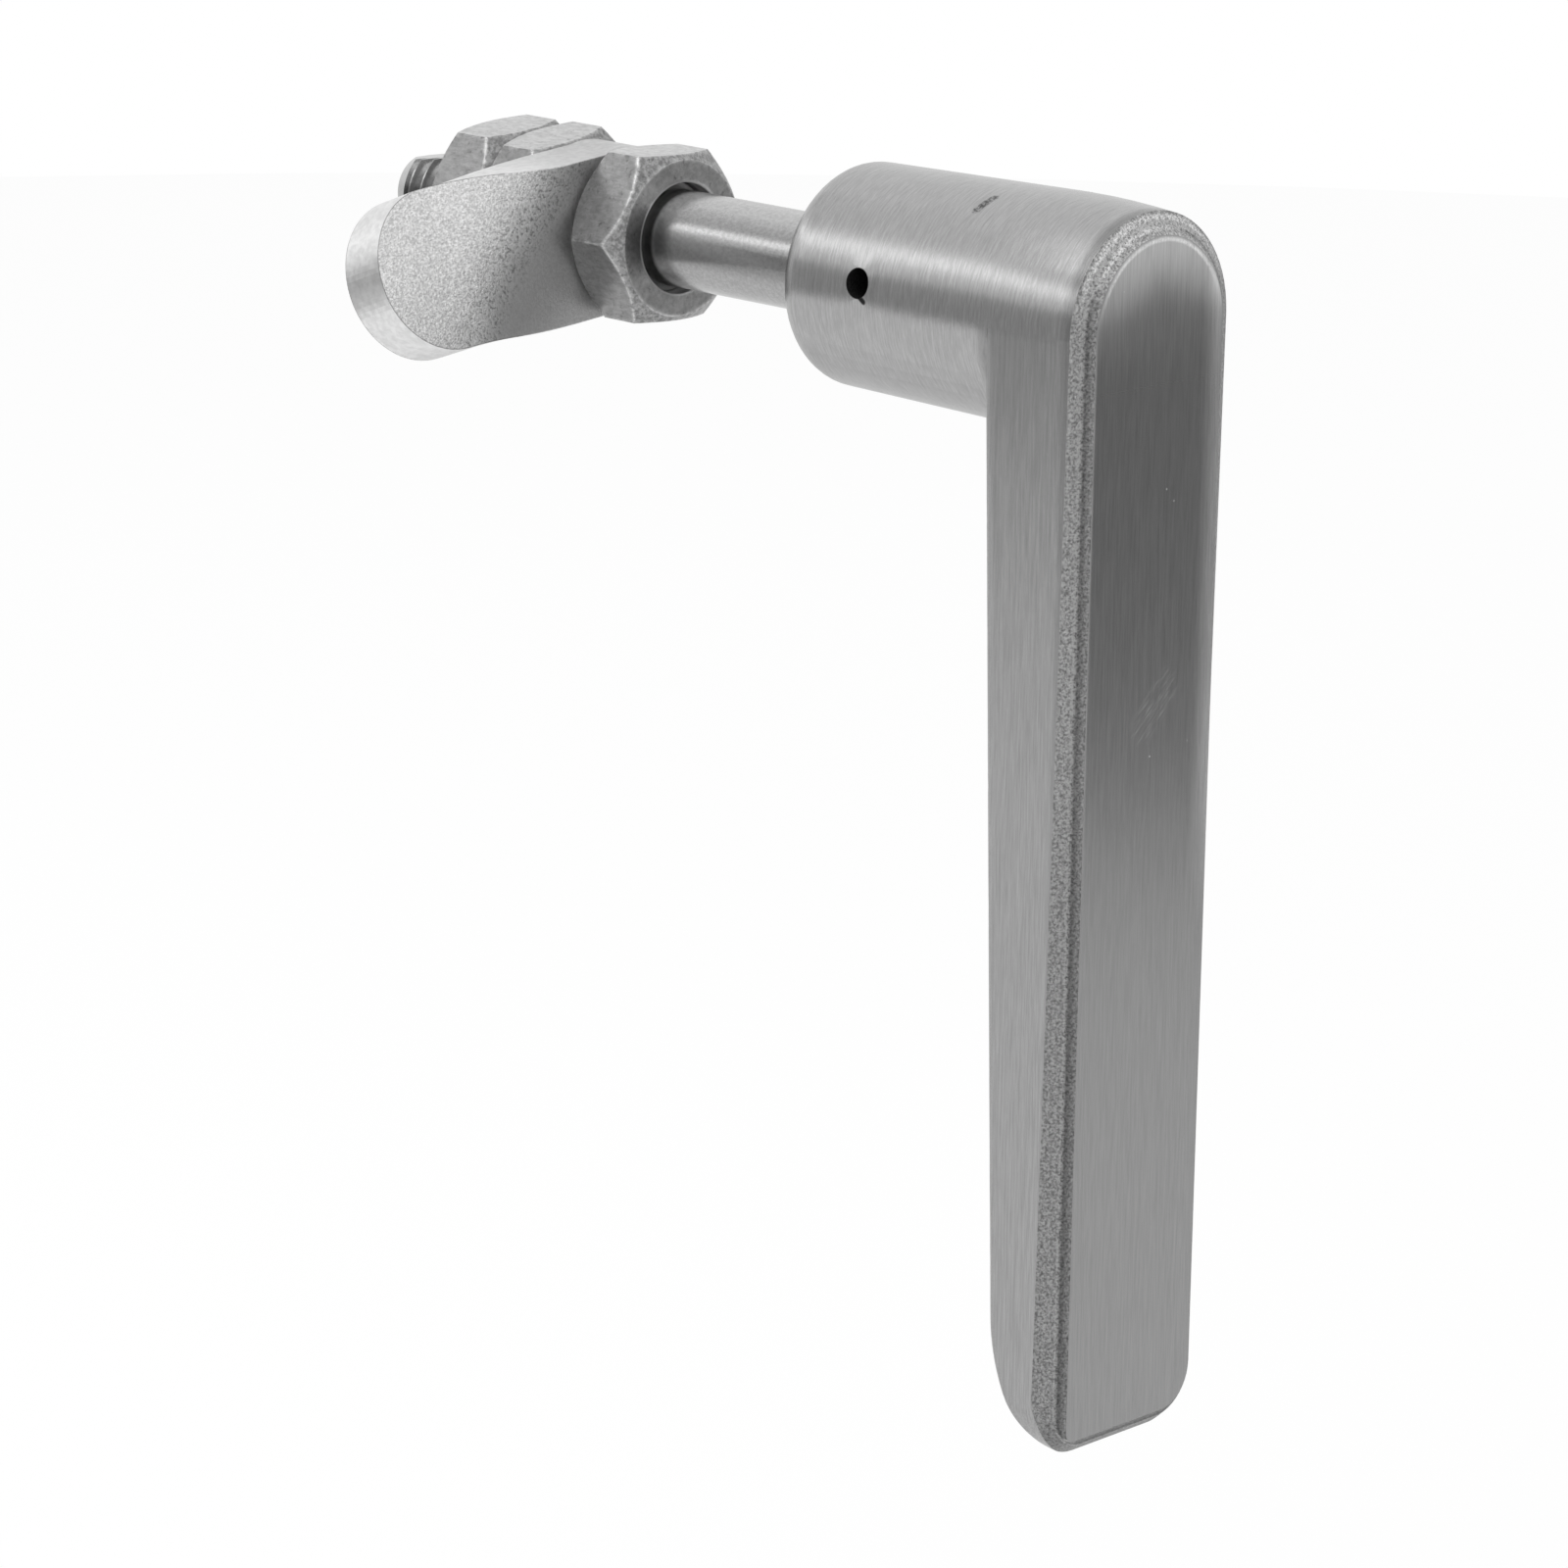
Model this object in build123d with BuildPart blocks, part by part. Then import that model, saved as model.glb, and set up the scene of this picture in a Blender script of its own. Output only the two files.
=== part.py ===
"""Door handle of a wood stove: cast lever, spindle, cross pin, three jam nuts and latch tongue."""
import os
from math import cos, radians, sin, tan

from build123d import *

os.makedirs("parts", exist_ok=True)

# The spindle runs along Y, +Y into the stove. The boss ends on the door at Y = 0.
# The lever hangs towards -Z in front of the door and the tongue points to -X behind it.

# Lever casting
half_width = 13.0
side_draft = 0.55
lever_length = 126.1
lever_thickness = 14.5
boss_length = 31.0
boss_taper = 0.5
boss_rim = 3.2
flare_lap = 0.6
flare_depth = 2.1
flare_drop = 1.9
flare_margin = 0.15
outer_bevel_width = 1.3
outer_bevel_drop = 0.65
inner_bevel_width = 1.17
inner_bevel_drop = 0.95
bevel_lean = 1.2
bevel_over = 0.75
back_setback = 0.75
back_lean = 2.07
back_edge = 1.2
heel_height = 16.0
heel_foot = 0.6
foot_drop = 0.55
corner_left = 8.4
corner_right = 6.4
panel_corner_left = 1.0
panel_corner_right = 4.4

# Spindle
thread_radius = 6.35
thread_relief = 1.4
shank_step = 0.8
bore_clearance = 0.05
bore_depth = 28.5
shank_gap = 0.5
free_end = 11.25
tip_drop = 2.25
tip_lead = 3.9
flat_setback = 1.05
flat_runout = 1.0
flat_drop = 1.2
flat_fall = 1.2

# Cross pin
pin_radius = 1.6
pin_clearance = 0.05
pin_recess = 4.5
pin_wall = 0.7
pin_slit = 0.8
pin_setback = 12.9
pin_angle = 171.4

# Jam nuts
nut_wall = 3.175
nut_thickness = 8.45
nut_face_inset = 0.525
nut_chamfer = 1.8
nut_clearance = 0.05
door_space = 27.1
front_nut_turn = -1.2
inner_nut_turn = 8.6
outer_nut_turn = 5.2

# Latch tongue
tongue_wall = 2.75
tongue_clearance = 0.15
hub_swell = 0.15
tongue_hub_thickness = 7.45
tongue_tip_thickness = 6.1
tongue_twist = 20.7
twist_start = 9.0
twist_length = 18.0
twist_steps = 4
tip_straight = 0.9
tongue_droop = 5.2

# Derived sizes and positions of the lever
lever_bottom = -lever_length
parting_y = -boss_length
panel_y = parting_y - lever_thickness
ridge_y = panel_y + inner_bevel_drop
ledge_y = ridge_y + outer_bevel_drop
ridge_inset = side_draft + outer_bevel_width
panel_inset = ridge_inset + inner_bevel_width
ledge_half = half_width - side_draft
ridge_half = half_width - ridge_inset
panel_half = half_width - panel_inset
boss_straight = boss_length - boss_rim
front_lead = 2 * (inner_bevel_drop + outer_bevel_drop)
blade_bottom = lever_bottom + side_draft - foot_drop
bevel_y = ledge_y + (side_draft + bevel_over) * outer_bevel_drop / outer_bevel_width
ridge_corner_left = (corner_left + panel_corner_left) / 2
ridge_corner_right = (corner_right + panel_corner_right) / 2
boss_back_radius = half_width - boss_taper
flare_y = parting_y + flare_lap
back_y = parting_y - back_setback
heel_start = lever_bottom + heel_height

# Derived sizes and positions along the spindle
shank_radius = thread_radius - shank_step
bore_radius = shank_radius + bore_clearance
pin_y = -pin_setback
pin_length = 2 * (boss_back_radius - pin_recess)
nut_bore = thread_radius + nut_clearance
nut_across_flats = 2 * (thread_radius + nut_wall)
nut_face_radius = nut_across_flats / 2 - nut_face_inset
nut_corner_radius = nut_across_flats / 2 / cos(radians(30))
front_nut_y = door_space
tongue_y = front_nut_y + nut_thickness
inner_nut_y = tongue_y + tongue_hub_thickness
outer_nut_y = inner_nut_y + nut_thickness
nut_stack_end = outer_nut_y + nut_thickness
thread_start = front_nut_y + thread_relief
thread_end = nut_stack_end + free_end
tip_radius = thread_radius - tip_drop
flat_start = nut_stack_end + flat_setback
flat_near = thread_radius - flat_drop
flat_far = flat_near - flat_fall
tongue_bore = thread_radius + tongue_clearance
tongue_half_width = tongue_bore + tongue_wall
tongue_hub_radius = tongue_half_width + hub_swell
twist_end = twist_start + twist_length
nose_start = twist_end + tip_straight


def back_at(z):
    """Y of the lever's leaning back at height z."""
    return back_y + z * tan(radians(back_lean))


with BuildPart() as lever_handle:
    # Blade of the lever: its flanks carry on from the boss and draw in towards the front
    with BuildSketch(Plane.XY):
        with BuildLine():
            flank_left = TangentArc(
                (-half_width, parting_y), (-ledge_half, ledge_y), tangent=(-boss_taper, -boss_straight)
            )
            front_left = Line(flank_left @ 1, flank_left @ 1 + (flank_left % 1) * front_lead)
            flank_right = TangentArc(
                (half_width, parting_y), (ledge_half, ledge_y), tangent=(boss_taper, -boss_straight)
            )
            front_right = Line(flank_right @ 1, flank_right @ 1 + (flank_right % 1) * front_lead)
            Line(front_left @ 1, front_right @ 1)
            Line(flank_left @ 0, flank_right @ 0)
        make_face()
    extrude(amount=blade_bottom)
    foot_edges = lever_handle.edges().filter_by(
        lambda e: abs(e.center().X) > panel_half and e.center().Z < blade_bottom + back_edge
    )
    fillet(foot_edges.filter_by(lambda e: e.center().X < 0), corner_left - side_draft)
    foot_edges = lever_handle.edges().filter_by(
        lambda e: e.center().X > panel_half and e.center().Z < blade_bottom + back_edge
    )
    fillet(foot_edges, corner_right - side_draft)
    # Leaning back and rounded heel
    with BuildSketch(Plane.YZ):
        with BuildLine():
            back = Line((back_at(half_width), half_width), (back_at(heel_start), heel_start))
            heel = TangentArc(back @ 1, (ledge_y + heel_foot, blade_bottom), tangent=back % 1)
            Polyline(heel @ 1, (parting_y, blade_bottom), (parting_y, half_width), back @ 0)
        make_face()
    extrude(amount=2 * half_width, both=True, mode=Mode.SUBTRACT)
    back_edges = lever_handle.edges().filter_by(
        lambda e: abs(e.center().X) > ledge_half
        and e.length > half_width
        and e.center().Y > (back_y + ledge_y) / 2
    )
    fillet(back_edges, back_edge)
    # Rough band: an outer and an inner bevel that meet in an arris around the flat panel
    for y, lean, inset, drop, left, right in (
        (parting_y, 0, -bevel_over, foot_drop, corner_left, corner_right),
        (bevel_y, bevel_lean, -bevel_over, foot_drop, corner_left, corner_right),
        (ridge_y, 0, ridge_inset, 0, ridge_corner_left, ridge_corner_right),
        (panel_y, 0, panel_inset, 0, panel_corner_left, panel_corner_right),
    ):
        half = half_width - inset
        bottom = lever_bottom + inset - drop
        with BuildSketch(
            Plane(
                origin=(0, y, 0),
                x_dir=(1, 0, 0),
                z_dir=(0, -cos(radians(lean)), -sin(radians(lean))),
            )
        ):
            with BuildLine():
                side = Line((-half, 0), (-half, bottom + left))
                turn = TangentArc(side @ 1, (-half + left, bottom), tangent=(0, -1))
                foot = Line(turn @ 1, (half - right, bottom))
                rise = TangentArc(foot @ 1, (half, bottom + right), tangent=(1, 0))
                Polyline(rise @ 1, (half, 0), (-half, 0))
            make_face()
    loft(ruled=True, mode=Mode.INTERSECT)
    # Round head over the spindle with the upper half of the boss behind it
    with BuildSketch(Plane.XY):
        with BuildLine():
            rim = TangentArc(
                (-boss_back_radius + boss_rim, 0), (-boss_back_radius, -boss_rim), tangent=(-1, 0)
            )
            boss_side = Line(rim @ 1, (-half_width, parting_y))
            flank = TangentArc(boss_side @ 1, (-ledge_half, ledge_y), tangent=boss_side % 1)
            Polyline(
                flank @ 1,
                (-ridge_half, ridge_y),
                (-panel_half, panel_y),
                (0, panel_y),
                (0, 0),
                rim @ 0,
            )
        make_face()
    revolve(axis=Axis.Y, revolution_arc=180)
    # Lower half of the boss, let into the blade
    with BuildSketch(Plane.XY):
        with BuildLine():
            rim = TangentArc(
                (boss_back_radius - boss_rim, 0), (boss_back_radius, -boss_rim), tangent=(1, 0)
            )
            Polyline(
                rim @ 1,
                (half_width, parting_y),
                (half_width, back_y - back_setback),
                (0, back_y - back_setback),
                (0, 0),
                rim @ 0,
            )
        make_face()
    revolve(axis=Axis.Y, revolution_arc=180)
    # Flare under the boss that carries it into the back of the lever
    for share in (0, 0.5, 1):
        with BuildSketch(Plane.XZ.offset(-flare_y + flare_depth * share)):
            with Locations((0, -flare_drop * share**2)):
                Circle(half_width - flare_margin * (1 + share))
    loft()
    # Bore for the spindle and cross hole for the pin
    with BuildSketch(Plane.XZ):
        Circle(bore_radius)
    extrude(amount=bore_depth, mode=Mode.SUBTRACT)
    with BuildSketch(
        Plane(origin=(0, pin_y, 0), z_dir=(cos(radians(pin_angle)), 0, sin(radians(pin_angle))))
    ):
        Circle(pin_radius + pin_clearance)
    extrude(amount=2 * half_width, both=True, mode=Mode.SUBTRACT)

with BuildPart() as spindle:
    with BuildSketch(Plane.XY):
        with BuildLine():
            Polyline(
                (0, -bore_depth + shank_gap),
                (shank_radius, -bore_depth + shank_gap),
                (shank_radius, thread_start),
                (thread_radius, thread_start + thread_radius - shank_radius),
                (thread_radius, thread_end - tip_lead),
                (tip_radius, thread_end),
                (0, thread_end),
                close=True,
            )
        make_face()
    revolve(axis=Axis.Y)
    # Flat dressed on the upper side of the free end
    with BuildSketch(Plane.YZ):
        Polygon(
            (flat_start, thread_radius),
            (flat_start + flat_runout, flat_near),
            (thread_end, flat_far),
            (thread_end, thread_radius),
            align=None,
        )
    extrude(amount=2 * thread_radius, both=True, mode=Mode.SUBTRACT)
    with BuildSketch(
        Plane(origin=(0, pin_y, 0), z_dir=(cos(radians(pin_angle)), 0, sin(radians(pin_angle))))
    ):
        Circle(pin_radius + pin_clearance)
    extrude(amount=2 * shank_radius, both=True, mode=Mode.SUBTRACT)

with BuildPart() as roll_pin:
    with BuildSketch(
        Plane(origin=(0, pin_y, 0), z_dir=(cos(radians(pin_angle)), 0, sin(radians(pin_angle))))
    ):
        Circle(pin_radius)
        Circle(pin_radius - pin_wall, mode=Mode.SUBTRACT)
        with Locations((pin_radius, 0)):
            Rectangle(2 * pin_radius, pin_slit, mode=Mode.SUBTRACT)
    extrude(amount=pin_length / 2, both=True)


jam_nuts = []
for near_y, turn in (
    (front_nut_y, front_nut_turn),
    (inner_nut_y, inner_nut_turn),
    (outer_nut_y, outer_nut_turn),
):
    # Hexagon with both faces turned to a cone, bored for the spindle
    far_y = near_y + nut_thickness
    with BuildPart() as jam_nut:
        with BuildSketch(Plane.XZ.offset(-near_y)):
            RegularPolygon(nut_corner_radius, 6, rotation=turn)
        extrude(amount=-nut_thickness)
        with BuildSketch(Plane.XY):
            Polygon(
                (nut_bore, near_y),
                (nut_face_radius, near_y),
                (nut_corner_radius, near_y + nut_chamfer),
                (nut_corner_radius, far_y - nut_chamfer),
                (nut_face_radius, far_y),
                (nut_bore, far_y),
                align=None,
            )
        revolve(axis=Axis.Y, mode=Mode.INTERSECT)
    jam_nuts.append(jam_nut.part)
front_jam_nut, inner_jam_nut, outer_jam_nut = jam_nuts

tongue_centre = Vector(0, tongue_y + tongue_hub_thickness / 2, 0)
tongue_along = Vector(-cos(radians(tongue_droop)), 0, -sin(radians(tongue_droop)))
tongue_front = Vector(0, -1, 0)
tongue_across = tongue_front.cross(tongue_along)


def turned_plane(angle):
    """Plane of the tongue's flat where the bar is turned by angle about its length."""
    facing = tongue_front * cos(radians(angle)) - tongue_across * sin(radians(angle))
    return Plane(origin=tongue_centre, x_dir=tongue_along, z_dir=facing)


with BuildPart() as latch_tongue:
    # Hub between the nuts
    with BuildSketch(turned_plane(0)):
        Circle(tongue_hub_radius)
        with Locations((twist_start / 2, 0)):
            Rectangle(twist_start, 2 * tongue_half_width)
    extrude(amount=tongue_hub_thickness / 2, both=True)
    # Twisted length, one section at each step of a twist that sets in and ends gently
    for step in range(twist_steps + 1):
        share = step / twist_steps
        along = twist_start + (twist_end - twist_start) * share
        thickness = tongue_hub_thickness + (tongue_tip_thickness - tongue_hub_thickness) * share
        cut = Plane(
            origin=tongue_centre + tongue_along * along,
            x_dir=turned_plane(tongue_twist * (3 - 2 * share) * share**2).y_dir,
            z_dir=tongue_along,
        )
        with BuildSketch(cut):
            Rectangle(2 * tongue_half_width, thickness)
    loft()
    # Flat tip with a full round end
    with BuildSketch(turned_plane(tongue_twist)):
        with BuildLine():
            lower = Line((twist_end, tongue_half_width), (nose_start, tongue_half_width))
            nose = TangentArc(lower @ 1, (nose_start, -tongue_half_width), tangent=lower % 1)
            Polyline(
                nose @ 1,
                (twist_end, -tongue_half_width),
                (twist_end, tongue_half_width),
            )
        make_face()
    extrude(amount=tongue_tip_thickness / 2, both=True)
    with BuildSketch(turned_plane(0)):
        Circle(tongue_bore)
    extrude(amount=tongue_hub_thickness, both=True, mode=Mode.SUBTRACT)

lever_handle.part.label = "lever_handle"
spindle.part.label = "spindle"
roll_pin.part.label = "roll_pin"
front_jam_nut.label = "front_jam_nut"
inner_jam_nut.label = "inner_jam_nut"
outer_jam_nut.label = "outer_jam_nut"
latch_tongue.part.label = "latch_tongue"

export_step(lever_handle.part, "parts/lever_handle.step")
export_step(spindle.part, "parts/spindle.step")
export_step(roll_pin.part, "parts/roll_pin.step")
export_step(front_jam_nut, "parts/front_jam_nut.step")
export_step(inner_jam_nut, "parts/inner_jam_nut.step")
export_step(outer_jam_nut, "parts/outer_jam_nut.step")
export_step(latch_tongue.part, "parts/latch_tongue.step")
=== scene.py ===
# %% [markdown]
# A door handle of a wood stove, dressed for a portrait.
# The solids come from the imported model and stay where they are. This script gives them their metal,
# cuts a real thread on the spindle and builds a small white studio round them.
# Lengths in the scene are metres; sizes of the handle itself are written in millimetres.
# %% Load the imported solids
import math

import bmesh
import bpy
from mathutils import Matrix, Vector


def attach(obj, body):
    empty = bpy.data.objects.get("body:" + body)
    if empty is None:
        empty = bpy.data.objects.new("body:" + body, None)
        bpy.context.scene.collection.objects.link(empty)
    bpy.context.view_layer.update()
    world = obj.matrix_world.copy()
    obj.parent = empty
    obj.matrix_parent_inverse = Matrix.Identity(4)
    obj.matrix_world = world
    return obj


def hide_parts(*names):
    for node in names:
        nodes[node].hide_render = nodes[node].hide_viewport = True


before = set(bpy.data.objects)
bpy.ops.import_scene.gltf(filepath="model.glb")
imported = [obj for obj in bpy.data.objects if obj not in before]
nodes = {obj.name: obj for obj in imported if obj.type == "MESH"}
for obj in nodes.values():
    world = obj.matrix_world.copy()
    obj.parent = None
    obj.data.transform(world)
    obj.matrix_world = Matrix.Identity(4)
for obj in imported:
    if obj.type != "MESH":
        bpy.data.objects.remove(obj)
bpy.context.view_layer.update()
scene = bpy.context.scene
MM = 0.001
print("nodes:", sorted(nodes))

# %% [markdown]
# The camera stands where the photographer stood: in front of the handle, to its left and a little above it.
# A long lens keeps the lever's sides nearly parallel. The camera could be aimed with a constraint, but it is
# rolled by almost a degree, so its three axes are worked out here and written as a matrix.
# %% Camera
YAW, PITCH, ROLL = (math.radians(a) for a in (45.282, 15.155, 0.821))
CAMERA_PLACE = Vector((-476.152, -461.972, 120.662)) * MM
SENSOR_WIDTH = 36.0
FOCAL_PIXELS, IMAGE_PIXELS = 6189, 1600
forward = Vector((math.sin(YAW) * math.cos(PITCH), math.cos(YAW) * math.cos(PITCH), -math.sin(PITCH)))
level = Vector((math.cos(YAW), -math.sin(YAW), 0.0))
upright = level.cross(forward)
side = level * math.cos(ROLL) + upright * math.sin(ROLL)
head = upright * math.cos(ROLL) - level * math.sin(ROLL)
turn = Matrix((side, head, -forward)).transposed()
camera_data = bpy.data.cameras.new("portrait_camera")
camera_data.sensor_width = SENSOR_WIDTH
camera_data.lens = SENSOR_WIDTH * FOCAL_PIXELS / IMAGE_PIXELS
camera = bpy.data.objects.new("portrait_camera", camera_data)
camera.matrix_world = Matrix.Translation(CAMERA_PLACE) @ turn.to_4x4()
scene.collection.objects.link(camera)
scene.camera = camera
print("camera lens", round(camera_data.lens, 1), "mm")

# %% [markdown]
# Every material and the world are small node trees. Nodes could be wired one by one, but that hides the idea
# in housekeeping. One helper adds a node, sets its properties, feeds its sockets from left to right and hands
# back an output, so that a tree reads like a sum.
# %% Node helpers
def put(tree, kind, *feeds, out=0, **settings):
    """Adds a node, feeds its inputs in order with links or values, and returns one output."""
    node = tree.nodes.new("ShaderNode" + kind)
    for key, value in settings.items():
        setattr(node, key, value)
    for socket, feed in zip(node.inputs, feeds):
        if isinstance(feed, bpy.types.NodeSocket):
            tree.links.new(feed, socket)
        elif feed is not None:
            socket.default_value = feed
    return node.outputs[out]


def math_of(tree, operation, *feeds):
    """One step of arithmetic."""
    return put(tree, "Math", *feeds, operation=operation)


print("helpers:", put.__name__, math_of.__name__)

# %% [markdown]
# Most of what a bare metal shows is its surroundings, so the studio matters as much as the material.
# The world is plain white for the camera and for reflections, and dimmer for the soft fill light.
# The Light Path node tells the two apart, so the background can stay white while the table is lit gently.
# %% White surroundings
WHITE = (1, 1, 1, 1)
FILL_LIGHT, SEEN_LIGHT = 0.6, 1.0


def seen_directly(tree):
    """1 for what the camera, a reflection or a glass sees, 0 for diffuse light."""
    path = tree.nodes.new("ShaderNodeLightPath").outputs
    either = math_of(tree, "MAXIMUM", path["Is Camera Ray"], path["Is Glossy Ray"])
    return math_of(tree, "MAXIMUM", either, path["Is Transmission Ray"])


scene.view_settings.view_transform = "Standard"
world = bpy.data.worlds.new("white_surroundings")
scene.world = world
world.use_nodes = True
tree = world.node_tree
tree.nodes.clear()
fill = put(tree, "Background", WHITE, FILL_LIGHT)
seen = put(tree, "Background", WHITE, SEEN_LIGHT)
sky = put(tree, "MixShader", seen_directly(tree), fill, seen)
tree.links.new(sky, tree.nodes.new("ShaderNodeOutputWorld").inputs[0])
print("world:", world.name)

# %% [markdown]
# Under the handle lies a round white table top, which the lower half of the lever mirrors.
# Plain white paint would look grey in this light. So most of what the camera sees of the table is a glow,
# the rest is lit paint, and together they come to white. The lit part keeps the handle's soft shadow.
# %% Floor
TABLE_Z, TABLE_RADIUS, TABLE_SEGMENTS = -0.205, 1.3, 96
PAINT_TONE, GLOW, GLOW_SHARE = 0.9, 1.08, 0.8


def new_material(name):
    """An empty material and its node tree."""
    material = bpy.data.materials.new(name)
    material.use_nodes = True
    material.node_tree.nodes.clear()
    return material, material.node_tree


def show(tree, surface):
    """Makes a shader the surface of its material."""
    tree.links.new(surface, tree.nodes.new("ShaderNodeOutputMaterial").inputs[0])


def link_mesh(name, bm):
    """Turns a bmesh into an object at the origin."""
    mesh = bpy.data.meshes.new(name)
    bm.to_mesh(mesh)
    bm.free()
    piece = bpy.data.objects.new(name, mesh)
    scene.collection.objects.link(piece)
    return piece


bm = bmesh.new()
bmesh.ops.create_circle(bm, cap_ends=True, segments=TABLE_SEGMENTS, radius=TABLE_RADIUS)
bmesh.ops.translate(bm, verts=bm.verts, vec=(0, 0, TABLE_Z))
floor = link_mesh("table_top", bm)
paint, tree = new_material("white_table")
lit = put(tree, "BsdfDiffuse", (PAINT_TONE, PAINT_TONE, PAINT_TONE, 1))
glow = put(tree, "Emission", WHITE, GLOW)
share = math_of(tree, "MULTIPLY", seen_directly(tree), GLOW_SHARE)
show(tree, put(tree, "MixShader", share, lit, glow))
floor.data.materials.append(paint)
print("table top at", TABLE_Z, "m")

# %% [markdown]
# Dark cards stand on the table left and right of the handle, hidden from the camera but not from the metal.
# A photographer sets up such cards to give bare metal its edges. A lamp could stand in for the bright ones,
# but an upright rectangle that glows can be as dark or as bright as wanted.
# Where a card meets the table, the lever's mirror image changes from white to grey halfway down.
# A bright strip above the left card draws the long highlight along the boss and the shank, and a grey
# card above the strip keeps that highlight narrow.
# %% Cards and strip light
def standing_card(name, azimuth, distance, low, high, width, brightness):
    """A plain upright card that faces the handle, hidden from the camera itself."""
    a = math.radians(azimuth)
    bm = bmesh.new()
    bmesh.ops.create_grid(bm, x_segments=1, y_segments=1, size=0.5)
    bmesh.ops.scale(bm, verts=bm.verts, vec=(width, high - low, 1))
    stand = Matrix.Translation((math.sin(a) * distance, -math.cos(a) * distance, (low + high) / 2))
    bm.transform(stand @ Matrix.Rotation(a, 4, "Z") @ Matrix.Rotation(math.radians(90), 4, "X"))
    card = link_mesh(name, bm)
    paint, tree = new_material(name)
    show(tree, put(tree, "Emission", WHITE, brightness))
    card.data.materials.append(paint)
    card.visible_camera = False
    card.visible_shadow = False
    print(name, "from", low, "to", high, "m")


standing_card("dark_card_left", -125, 0.86, low=TABLE_Z, high=0.175, width=0.85, brightness=0.42)
standing_card("strip_light_left", -140, 0.75, low=0.31, high=0.44, width=0.8, brightness=2.2)
standing_card("grey_card_high", -155, 0.75, low=0.50, high=0.85, width=1.0, brightness=0.72)
standing_card("dark_card_right", 49, 0.57, low=TABLE_Z, high=0.115, width=0.8, brightness=0.33)

# %% [markdown]
# One soft lamp overhead gives the rough surfaces some direction. A sun would be sharper than a studio's
# light, so it is a square area lamp, turned to look at the handle.
# %% Soft lamp
LAMP_WATTS, LAMP_SIZE = 2.5, 0.6
LAMP_PLACE, LAMP_TARGET = Vector((-0.5, 0.1, 0.9)), Vector((0, 0, -0.04))
lamp_data = bpy.data.lights.new("soft_lamp", "AREA")
lamp_data.energy = LAMP_WATTS
lamp_data.size = LAMP_SIZE
lamp = bpy.data.objects.new("soft_lamp", lamp_data)
scene.collection.objects.link(lamp)
lamp.location = LAMP_PLACE
lamp.rotation_euler = (LAMP_TARGET - LAMP_PLACE).to_track_quat("-Z", "Y").to_euler()
print("lamp of", LAMP_WATTS, "W at", tuple(round(v, 2) for v in lamp.location))

# %% [markdown]
# All the metals share some tools for measuring a point. Coordinates are taken from the object in
# millimetres, so that noise of 3 waves a unit has grains of a third of a millimetre. The noise can be
# stretched: a brush leaves long thin marks, so it runs fast across the marks and slowly along them.
# A picture of brushed steel would need each solid to be unwrapped first; noise in space doesn't.
# %% Tools that measure
def millimetres(tree):
    """The point in millimetres, and its three coordinates."""
    coords = tree.nodes.new("ShaderNodeTexCoord").outputs["Object"]
    point = put(tree, "Mapping", coords, None, None, (1 / MM, 1 / MM, 1 / MM))
    split = tree.nodes.new("ShaderNodeSeparateXYZ")
    tree.links.new(point, split.inputs[0])
    return point, split.outputs[0], split.outputs[1], split.outputs[2]


def face_normal(tree):
    """The Y and Z parts of the direction that the face itself looks in."""
    split = tree.nodes.new("ShaderNodeSeparateXYZ")
    tree.links.new(tree.nodes.new("ShaderNodeNewGeometry").outputs["True Normal"], split.inputs[0])
    return split.outputs[1], split.outputs[2]


def from_spindle(tree, x, z):
    """The arm from the spindle's axis to the point, and its length."""
    arm = put(tree, "CombineXYZ", x, 0.0, z)
    return arm, put(tree, "VectorMath", arm, operation="LENGTH", out=1)


def away_from(tree, value, centre):
    """How far a value lies from a centre, on either side."""
    return math_of(tree, "ABSOLUTE", math_of(tree, "SUBTRACT", value, centre))


def grain(tree, point, waves, detail=2.0, rough=0.6):
    """Noise from 0 to 1 with the given number of waves per millimetre along X, Y and Z."""
    place = put(tree, "Mapping", point, None, None, waves)
    return put(tree, "TexNoise", place, None, 1.0, detail, rough, noise_dimensions="3D")


print("measuring tools:", millimetres.__name__, face_normal.__name__, from_spindle.__name__, grain.__name__)

# %% [markdown]
# The other tools turn a measure into a tone. A mask is a number from 0 to 1 that says where something is.
# `ramp` makes one from a measure and the two ends of a soft change, `times` lays masks over each other, and
# `mix` and `tint` use one to change a tone. Colour ramps could do this too, but their ends take no links.
# %% Tools that tone
def ramp(tree, value, start, end, low=0.0, high=1.0):
    """low before start, high after end, and a smooth change between."""
    return put(tree, "MapRange", value, start, end, low, high, interpolation_type="SMOOTHSTEP")


def mix(tree, share, a, b):
    """a where share is 0 and b where it is 1."""
    return put(tree, "MapRange", share, 0.0, 1.0, a, b)


def times(tree, first, *others):
    """The product of all the values."""
    for other in others:
        first = math_of(tree, "MULTIPLY", first, other)
    return first


def tint(tree, tone, share, factor):
    """The tone, multiplied by the factor where share is 1."""
    return times(tree, tone, mix(tree, share, 1.0, factor))


print("toning tools:", ramp.__name__, mix.__name__, times.__name__, tint.__name__)

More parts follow.
